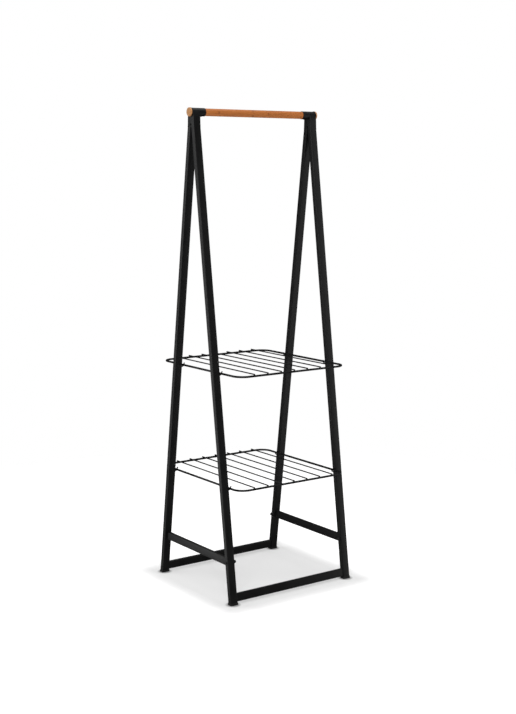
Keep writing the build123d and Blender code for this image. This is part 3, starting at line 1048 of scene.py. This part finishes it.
@dataclass
class RailHead:
    """One cast head: a block over two leg tops, and a sleeve with a flange round the rail."""

    side: Side  # Which end of the rail it is on
    sleeve_wall: float = 1.2 * MM  # Wall of the sleeve
    rail_fit: float = 0.2 * MM  # Clearance between the sleeve and the rail
    flange_thickness: float = 3.0 * MM  # Thickness of the flange
    edge: float = 1.6 * MM  # Rounding of the block's outer edges
    lip: float = 0.8 * MM  # Rounding of the sleeve's and the flange's edges
    # How much the block narrows from its foot to its shoulder, each side.
    shoulder: float = 1.6 * MM
    count: int = 72  # Points round the sleeve

    def __post_init__(self) -> None:
        """Reads the head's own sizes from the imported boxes."""
        self.box = Box(f"rail_head_{self.side.word}")
        self.leg = Box(f"leg_front_{self.side.word}")
        rail = Box("hanging_rail")
        self.axis_level = rail.middle[2]
        self.bore = rail.size[2] / 2 + self.rail_fit
        self.flange = self.box.high[2] - self.axis_level

    def block(self) -> Shell:
        """The block: an outline in the YZ plane carried along X over the width of the legs.

        The outline goes up the leaning front and back, meets the sleeve along a tangent and
        closes over the top as the sleeve's own circle. Near each end it is drawn in along
        its normals by a quarter-round edge.

        Returns:
            The block's surface.
        """
        sleeve = self.bore + self.sleeve_wall
        drop = self.axis_level - self.leg.high[2]
        half_depth = self.box.size[1] / 2
        foot = np.array([half_depth, -drop])
        knee = np.array([half_depth - self.shoulder, -sleeve * 1.05])
        # Tangent from the knee to the circle: the turn whose cosine is radius over distance.
        away = hypot(*knee)
        touch = atan2(knee[1], knee[0]) + acos(min(1.0, sleeve / away))
        over = arc(touch, pi - touch, 28)
        front = np.concatenate([np.linspace(foot, knee, 7)[:-1], [knee]])
        top = sleeve * np.stack([np.cos(over), np.sin(over)], axis=1)
        outline = np.concatenate([front, top, front[::-1] * [-1, 1]])
        along = np.roll(outline, -1, axis=0) - np.roll(outline, 1, axis=0)
        normal = np.stack([along[:, 1], -along[:, 0]], axis=1)
        normal = normal / np.linalg.norm(normal, axis=1, keepdims=True)
        stations, shrink = rounded_ends(self.leg.low[0], self.leg.high[0], self.edge, 5, 6)
        # The underside stays level, where the head meets the tops of the legs.
        normal[outline[:, 1] <= -drop + MM / 10, 1] = 0.0
        flat = outline[None, :, :] - normal[None, :, :] * shrink[:, None, None]
        return surface(stations[:, None], flat[..., 0], self.axis_level + flat[..., 1])

    def sleeve(self) -> Shell:
        """The sleeve and flange: one turned wall, out along the outside and back by the bore.

        The lips at both ends and the flange's two edges are quarter rounds.

        Returns:
            The wall's surface, closed on itself.
        """
        outside = self.bore + self.sleeve_wall
        reach = self.box.size[0]
        body = reach - self.flange_thickness
        inset, depth = round_edge(self.lip, 4)
        steps = np.linspace(self.lip, body, 26)[1:-1]
        radius = np.concatenate([
            outside - inset, np.full(len(steps), outside), [outside],
            self.flange - inset, (self.flange - inset)[::-1],
            [self.bore + self.lip / 2, self.bore, self.bore, self.bore + self.lip / 2]])
        height = np.concatenate([
            depth, steps, [body], body + depth, (reach - depth)[::-1],
            [reach, reach - self.lip / 2, self.lip / 2, 0.0]])
        place = outward(self.box, self.side, self.axis_level)
        return turned(radius, height, self.count, wrap=True).placed(place)

    def build(self) -> None:
        """Builds and dresses the head."""
        name = self.side.word
        stand_for(f"{name}_head_casting", f"rail_head_{name}", [self.block(), self.sleeve()],
                  CAST_COAT)


# ---- shelves and their hooks ---------------------------------------------------------------
@dataclass
class WireShelf:
    """One shelf: a bent rim wire, seven rods over it and the weld at every crossing."""

    level: Level  # Which shelf it is
    bend: float = 45.0 * MM  # Bend radius of the rim, at the middle of its wire
    rods: int = 7  # Number of rods
    round_rim: int = 20  # Points round the rim wire
    round_rod: int = 14  # Points round a rod
    seam_swell: float = 0.09  # How much thicker the rim is at its butt weld
    # Half sizes of a weld at a crossing.
    weld: tuple[float, float, float] = (3.0 * MM, 3.4 * MM, 1.4 * MM)

    def __post_init__(self) -> None:
        """Reads the rim's and the rods' boxes."""
        self.rim_box = Box(f"{self.level.word}_shelf_rim")
        self.rod_box = Box(f"{self.level.word}_shelf_rods")
        self.rim_radius, self.rod_radius = self.rim_box.size[2] / 2, self.rod_box.size[2] / 2
        outermost = self.rod_box.high[0] - self.rod_radius
        self.rod_places = np.linspace(-outermost, outermost, self.rods)

    def rim(self) -> Shell:
        """The rim: a circle carried round a rectangle with round corners.

        The wire swells as a bell curve where its two ends are butt-welded, in the middle of
        the back side.

        Returns:
            The rim's surface, closed on itself.
        """
        size = self.rim_box.size - 2 * self.rim_radius
        corner = rounded_rectangle(size[0], size[1], self.bend, steps=12)
        following = np.roll(corner, -1, axis=0)
        length = np.linalg.norm(following - corner, axis=1)
        long = length > self.bend
        share = np.linspace(0, 1, 17)[1:-1][:, None, None]
        sides = corner[long][None] * (1 - share) + following[long][None] * share
        marks = np.repeat(np.nonzero(long)[0] + 1, share.shape[0])
        loop = np.insert(corner, marks, sides.transpose(1, 0, 2).reshape(-1, 2), axis=0)
        seam = np.hypot(loop[:, 0], loop[:, 1] - size[1] / 2)
        path = np.column_stack([loop[:, 0], loop[:, 1] + self.rim_box.middle[1],
                                np.full(len(loop), self.rim_box.middle[2])])
        swell = 1 + self.seam_swell * bell(seam, 12 * MM)
        profile = circle(self.rim_radius, self.round_rim) / swell.max()
        return carried(profile, path, np.array([0.0, 0.0, 1.0]), wrap=True, swell=swell)

    def rod(self, place: float) -> Shell:
        """A rod: a turned bar along Y with rounded ends.

        Args:
            place: Where the rod lies along X.

        Returns:
            The rod's closed surface.
        """
        rods = self.rod_box
        height, shrink = rounded_ends(0.0, rods.size[1], self.rod_radius * 0.45, 3, 20)
        spot = Placement((place, rods.low[1], rods.middle[2]), (0, 1, 0), (0, 0, 1))
        return turned(self.rod_radius - shrink, height, self.round_rod).placed(spot)

    def welds(self) -> list[Shell]:
        """Welds at the crossings: small ellipsoids half sunk between a rod and the rim.

        Returns:
            One surface for each weld.
        """
        angle = arc(-pi / 2, pi / 2, 8)[1:-1]
        rim = self.rim_box
        across = rim.size[1] / 2 - self.rim_radius
        unit = turned(np.cos(angle), np.sin(angle), 12).points * np.array(self.weld)
        return [Shell(unit + np.array((place, rim.middle[1] + end * across, rim.high[2])))
                for place in self.rod_places for end in (-1, 1)]

    def build(self) -> None:
        """Builds and dresses the rim and the rods."""
        name = self.level.word
        stand_for(f"{name}_rim_wire", f"{name}_shelf_rim", [self.rim()], WIRE_COAT)
        bars = [self.rod(place) for place in self.rod_places]
        stand_for(f"{name}_cross_rods", f"{name}_shelf_rods", bars + self.welds(), WIRE_COAT)


@dataclass
class ShelfHooks:
    """The four hooks under one shelf: a peg in the leg, a cradle for the rim and a raised tip."""

    level: Level  # Which shelf they carry
    frames: Frames
    seat_gap: float = 0.3 * MM  # Clearance between the rim and the hook
    wire_radius: float = 2.4 * MM  # Radius of the hook's wire
    tip_length: float = 9.0 * MM  # Straight part of the tip
    tip_lean: float = radians(24.0)  # Lean of the tip from upright, away from the leg
    collar_radius: float = 4.6 * MM  # Radius of the weld collar on the leg
    collar: float = 2.6 * MM  # Length of the weld collar
    count: int = 18  # Points round the wire

    def hook(self, side: Side, face: Face) -> list[Shell]:
        """One hook, as a bent wire and its collar.

        The path is a level line from the peg to under the rim, an arc about the rim's centre,
        and a straight tip. The wire closes over the tip as a half sphere. The collar's radius
        falls from the leg as a quarter circle curved inwards.

        Args:
            side: Left or right.
            face: Front or back.

        Returns:
            The wire and the collar.
        """
        rim = Box(f"{self.level.word}_shelf_rim")
        peg_end = Box(f"{self.level.word}_shelf_hooks").high[0]
        rim_radius, level = rim.size[2] / 2, rim.middle[2]
        wire_x = rim.high[0] - rim_radius
        drop = rim_radius + self.seat_gap + self.wire_radius
        inner_wall = Box("leg_front_right").low[0]
        turn = pi / 2 - self.tip_lean
        straight = np.linspace((peg_end, 0.0), (wire_x, 0.0), 7)[:-1]
        bend = arc(0, turn, 12)
        arched = np.stack([wire_x - drop * np.sin(bend), drop * (1 - np.cos(bend))], axis=1)
        toward = np.array([-cos(turn), sin(turn)])
        reach = np.linspace(0, self.tip_length, 6)[1:]
        tip = arched[-1] + reach[:, None] * toward
        cap = arc(0, pi / 2, 6)[1:-1]
        dome = tip[-1] + (self.wire_radius * np.sin(cap))[:, None] * toward
        flat = np.concatenate([straight, arched, tip, dome])
        swell = np.concatenate([np.ones(len(flat) - len(dome)), np.cos(cap)])
        place_y = face.value * self.frames.lean.at(level)
        path = np.column_stack([side.value * flat[:, 0], np.full(len(flat), place_y),
                                level - drop + flat[:, 1]])
        wire = carried(circle(self.wire_radius, self.count), path, np.array([0.0, 1.0, 0.0]),
                       swell=swell)
        fall = arc(0, pi / 2, 6)
        spare = self.collar_radius - self.wire_radius
        radius = self.wire_radius * 0.96 + spare * (1 - np.sin(fall))
        height = self.collar * (1 - np.cos(fall))
        spot = Placement((side.value * inner_wall, place_y, level - drop),
                         (-side.value, 0, 0), (0, 0, 1))
        return [wire, turned(radius, height, self.count).placed(spot)]

    def build(self) -> None:
        """Builds and dresses the four hooks."""
        shells = [shell for side in Side for face in Face for shell in self.hook(side, face)]
        stand_for(f"{self.level.word}_rim_hooks", f"{self.level.word}_shelf_hooks", shells,
                  POWDER)


# ---- fasteners -----------------------------------------------------------------------------
@dataclass
class Fasteners:
    """Bolts with button heads, plain nuts and domed cap nuts."""

    frames: Frames  # The frames that they hold together
    # Points round a fastener; a multiple of 12, so that hexagons keep their corners.
    count: int = 48
    m6: float = 3.0 * MM  # Radius of an M6 shank
    m8: float = 4.0 * MM  # Radius of an M8 shank
    button: tuple[float, float] = (5.6 * MM, 2.8 * MM)  # Radius and height of an M6 button head
    # Radius and height of an M8 button head.
    large_button: tuple[float, float] = (6.6 * MM, 2.6 * MM)
    cap_flats: float = 13.0 * MM  # Width across the flats of a cap nut
    cap_hex: float = 6.5 * MM  # Height of a cap nut's hexagon
    cap_dome: float = 6.1 * MM  # Radius of a cap nut's dome
    nut_flats: float = 10.0 * MM  # Width across the flats of a plain nut
    nut_height: float = 5.0 * MM  # Height of a plain nut

    def bolt(self, shank: float, length: float, head: tuple[float, float]) -> Shell:
        """A bolt along its own third axis, with its head above zero.

        From the shank's end the rings go up the shank, out under the head, over a dome that
        is a quarter ellipse, and down a hexagonal socket to its flat floor.

        Args:
            shank: Radius of the shank.
            length: Length of the shank.
            head: Radius and height of the head.

        Returns:
            The bolt's closed surface.
        """
        radius, height = head
        socket = hexagon(shank * 1.36, self.count)
        climb = arc(0, radians(62), 8)
        dome_radius = radius * np.cos(climb)
        dome_height = height * np.sin(climb) / sin(climb[-1])
        rings = [np.full(self.count, value) for value in
                 (shank - 0.5 * MM, shank, shank, radius - 0.2 * MM, *dome_radius)]
        rings += [socket + 0.15 * MM, socket, socket, socket * 0.35]
        heights = [-length, -length + 0.5 * MM, 0.0, 0.0, *dome_height,
                   height, height - 0.2 * MM, height * 0.35, height * 0.30]
        return turned(np.array(rings), np.array(heights), self.count)

    def prism(self, flats: float, tall: float, chamfer: float, steps: int,
              spans: int) -> tuple[Array, Array]:
        """A hexagon chamfered at both faces: the smaller of its radius and a cone's.

        The cone widens by the height over the tangent of 30 degrees from each face.

        Args:
            flats: Width across the flats.
            tall: Height of the hexagon.
            chamfer: Height of each chamfer.
            steps: Rings in each chamfer.
            spans: Spans between the chamfers.

        Returns:
            Radius of shape (rings, count), and the height of each ring.
        """
        height = np.concatenate([np.linspace(0, chamfer, steps),
                                 np.linspace(chamfer, tall - chamfer, spans + 1)[1:-1],
                                 np.linspace(tall - chamfer, tall, steps)])
        end = np.minimum(height, tall - height)
        cone = flats / 2 * 0.985 + end / tan(radians(30))
        return np.minimum(hexagon(flats, self.count)[None, :], cone[:, None]), height

    def cap_nut(self) -> Shell:
        """A domed cap nut: a chamfered hexagon, and a half sphere above it.

        Returns:
            The nut's surface, standing on its own origin.
        """
        radius, height = self.prism(self.cap_flats, self.cap_hex, 0.8 * MM, 6, 4)
        climb = arc(0, pi / 2, 12)[:-1]
        dome = np.broadcast_to((self.cap_dome * np.cos(climb))[:, None], (12, self.count))
        rise = self.cap_hex + self.cap_dome * np.sin(climb)
        return turned(np.concatenate([radius, dome]), np.concatenate([height, rise]), self.count)

    def plain_nut(self, bore: float) -> Shell:
        """A plain nut: a chamfered hexagon outside, and a bore with chamfered mouths inside.

        Args:
            bore: Radius of the bore, in metres.

        Returns:
            The nut's surface, standing on its own origin.
        """
        outside, height = self.prism(self.nut_flats, self.nut_height, 0.6 * MM, 5, 1)
        mouth = 0.4 * MM
        inner = np.array([bore + mouth, bore, bore, bore + mouth])
        inside = np.broadcast_to(inner[:, None], (4, self.count))
        back = np.array([self.nut_height, self.nut_height - mouth, mouth, 0.0])
        return turned(np.concatenate([outside, inside]), np.concatenate([height, back]),
                      self.count, wrap=True)

    def spots(self, node: str, faces: bool) -> list[Placement]:
        """Places on the outer face of the legs, looking away from the middle.

        Args:
            node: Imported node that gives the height, and the distance along Y.
            faces: Whether there is one at the front and one at the back.

        Returns:
            The places, left ones first.
        """
        level = Box(node).middle[2]
        outer = Box("leg_front_right").high[0]
        offsets = [face.value * self.frames.lean.at(level) for face in Face] if faces else [0.0]
        return [Placement((side.value * outer, offset, level), (side.value, 0, 0), (0, 0, 1))
                for side in Side for offset in offsets]

    def inner(self, place: Placement, width: float) -> Placement:
        """The same place on the inner face of the leg, looking to the middle.

        Args:
            place: Where a fastener sits on the outer face.
            width: Width of the leg, in metres.

        Returns:
            The place on the inner face.
        """
        way = place.axis[0]
        return Placement((place.origin[0] - way * width, *place.origin[1:]), (-way, 0, 0),
                         place.start)

    def build(self) -> None:
        """Builds and dresses every fastener."""
        width = Box("leg_front_right").size[0]
        for node, shank, head, past, faces in (
                ("head_bolts", self.m6, self.button, self.nut_height + 1.0 * MM, False),
                ("bar_bolts", self.m6, self.button, 22.0 * MM, True),
                ("stretcher_bolts", self.m8, self.large_button, 8.5 * MM, True)):
            bolt = self.bolt(shank, width + past, head)
            made = [bolt.placed(place) for place in self.spots(node, faces)]
            stand_for(node.replace("bolts", "button_bolts"), node, made, BLACK_STEEL)
        for name, node, nut, faces in (
                ("domed_nuts", "cap_nuts", self.cap_nut(), True),
                ("head_hex_nuts", "head_nuts", self.plain_nut(self.m6 + 0.05 * MM), False)):
            made = [nut.placed(self.inner(place, width)) for place in self.spots(node, faces)]
            stand_for(name, node, made, BLACK_STEEL)


# ---- studio --------------------------------------------------------------------------------
@dataclass
class Studio:
    """Camera, pale floor with a painted shade under the stand, and soft lights."""

    # Where the camera stands.
    camera_place: tuple[float, float, float] = (-2.9168, -4.0990, 1.6631)
    heading: float = 0.6216  # Its heading, clockwise from +Y seen from above
    tilt: float = 0.148  # How far it looks down
    lens: float = 87.70  # Focal length, for a sensor as wide as the frame
    sensor: float = 36.0  # Width of the sensor
    floor_radius: float = 2.6  # Radius of the floor, which fades out at its edge
    floor_tone: float = 0.97  # Tone of the open floor
    shade: float = 0.575  # Tone of the floor's soft shade under the stand
    shade_reach: float = 0.15  # How far the soft shade fades out past the feet
    shade_inset: float = 0.0  # How far inside the feet it starts to fade
    # Distances from a foot's middle at which its painted contact shadow starts and ends to fade.
    contact: tuple = (0.016, 0.036)
    # Tone of the floor's painted contact shadow at a foot, as a share of the floor's tone round
    # it.
    contact_tone: float = 0.35
    glow: float = 0.70  # Light that the floor gives off by itself, as a light table does
    surround: float = 0.07  # Strength of the white surround where it lights the stand

    def camera(self) -> None:
        """Creates the camera: it looks along the heading, tipped down by the tilt."""
        data = bpy.data.cameras.new("camera")
        data.sensor_fit, data.sensor_width, data.lens = "HORIZONTAL", self.sensor, self.lens
        data.clip_end = 100.0
        look = Vector((sin(self.heading) * cos(self.tilt), cos(self.heading) * cos(self.tilt),
                       -sin(self.tilt)))
        bpy.context.scene.camera = self.aimed("camera", data, self.camera_place, look)

    def aimed(self, name: str, data: bpy.types.ID, place: tuple, way: Vector) -> bpy.types.Object:
        """Links a camera or a light to the scene, at a place and looking a way.

        Args:
            name: Name of the object.
            data: The camera or the light.
            place: Where it stands.
            way: The direction it looks in.

        Returns:
            The linked object.
        """
        made = linked(name, data)
        turn = way.to_track_quat("-Z", "Y").to_matrix().to_4x4()
        made.matrix_world = Matrix.Translation(place) @ turn
        return made

    def floor(self) -> None:
        """Creates the floor: a disc that fades out, with a painted soft shade between the feet
        and a painted contact shadow round each foot.
        """
        rings = np.linspace(0.02, 1, 20) * self.floor_radius
        angle = turns(96)[None, :]
        points = np.stack(np.broadcast_arrays(rings[:, None] * np.cos(angle),
                                              rings[:, None] * np.sin(angle), 0.0), axis=-1)
        mesh = bpy.data.meshes.new("floor")
        inner = np.arange(96)[None, :]
        quads = grid_quads(20, 96)
        mesh.from_pydata(points.reshape(-1, 3).tolist(), [],
                         quads[:, ::-1].tolist() + inner.tolist())
        floor = linked("floor", mesh)
        board = Board("floor_white")
        axes = board.add("ShaderNodeSeparateXYZ", {"Vector": board.place}).outputs
        apart = [board.math("ABSOLUTE", axes[name]) for name in "XY"]
        corner = [float(value) - self.shade_inset for value in CAD_BOX[1][:2]]
        beyond = [board.math("MAXIMUM", board.math("SUBTRACT", distance, edge), 0.0)
                  for distance, edge in zip(apart, corner)]
        light = board.spread(board.length(*beyond), (0.0, self.shade_inset + self.shade_reach),
                             (0.0, 1.0), soft=True)
        speck = board.spread(board.noise(240.0), (0.3, 0.7), (0.985, 1.0))
        tone = board.math("MULTIPLY", speck,
                          board.spread(light, (0.0, 1.0), (self.shade, self.floor_tone)))
        # Painted contact shadow round each foot. The feet stand alike about both middle planes,
        # so one distance serves all four.
        near = board.length(*(board.math("SUBTRACT", distance, float(middle)) for distance, middle
                              in zip(apart, Box("foot_back_right").middle)))
        tone = board.math("MULTIPLY", tone,
                          board.spread(near, self.contact, (self.contact_tone, 1.0), soft=True))
        grey = board.add("ShaderNodeCombineColor", {0: tone, 1: tone, 2: tone}).outputs[0]
        board.wire(grey, "Base Color")
        board.wire(grey, "Emission Color")
        board.set(Roughness=0.9, Specular_IOR_Level=0.0, Emission_Strength=self.glow)
        solid = board.spread(board.length(axes["X"], axes["Y"]),
                             (0.55 * self.floor_radius, 0.95 * self.floor_radius),
                             (1.0, 0.0), soft=True)
        board.wire(solid, "Alpha")
        mesh.materials.append(board.material)
        floor.visible_glossy = False

    def area(self, name: str, place: tuple, aim: tuple, size: tuple, power: float) -> None:
        """Creates a soft area light.

        Args:
            name: Name of the light.
            place: Where it hangs.
            aim: The point that it faces.
            size: Its two sides.
            power: Its power in watts.
        """
        data = bpy.data.lights.new(name, "AREA")
        data.shape, data.size, data.size_y, data.energy = "RECTANGLE", size[0], size[1], power
        light = self.aimed(name, data, place, Vector(aim) - Vector(place))
        light.visible_camera = False

    def world(self) -> None:
        """Creates a white surround, dimmer where it lights the stand than where it is seen."""
        world = bpy.data.worlds.new("surround")
        world.use_nodes = True
        tree = world.node_tree
        tree.nodes.clear()
        mix, out = tree.nodes.new("ShaderNodeMixShader"), tree.nodes.new("ShaderNodeOutputWorld")
        path = tree.nodes.new("ShaderNodeLightPath")
        tree.links.new(path.outputs["Is Camera Ray"], mix.inputs[0])
        for number, strength in ((1, self.surround), (2, 1.0)):
            light = tree.nodes.new("ShaderNodeBackground")
            light.inputs["Color"].default_value = (1.0, 1.0, 1.0, 1.0)
            light.inputs["Strength"].default_value = strength
            tree.links.new(light.outputs[0], mix.inputs[number])
        tree.links.new(mix.outputs[0], out.inputs["Surface"])
        bpy.context.scene.world = world

    def build(self) -> None:
        """Sets up the whole studio."""
        self.camera()
        self.floor()
        self.area("overhead", (0.0, -0.3, 4.6), (0.0, 0.0, 0.0), (4.4, 4.4), 110.0)
        self.area("left_strip", (-0.95, 0.7, 1.0), (-0.3, 0.0, 1.0), (0.4, 2.6), 6.0)
        self.area("right_strip", (1.10, -0.9, 1.0), (0.28, 0.0, 1.0), (0.5, 2.6), 5.0)
        self.area("camera_fill", (-3.4, -4.2, 3.0), (0.0, 0.0, 1.3), (2.6, 2.6), 170.0)
        self.world()
        bpy.context.scene.view_settings.view_transform = "Standard"


def main() -> None:
    """Builds the stand's sub-assemblies in order, then the studio."""
    logging.basicConfig(level=logging.INFO, format="%(name)s: %(message)s")
    frames = Frames()
    frames.build()
    Rail().build()
    for side in Side:
        RailHead(side).build()
    for level in Level:
        WireShelf(level).build()
        ShelfHooks(level, frames).build()
    Fasteners(frames).build()
    Studio().build()


if __name__ == "__main__":
    main()
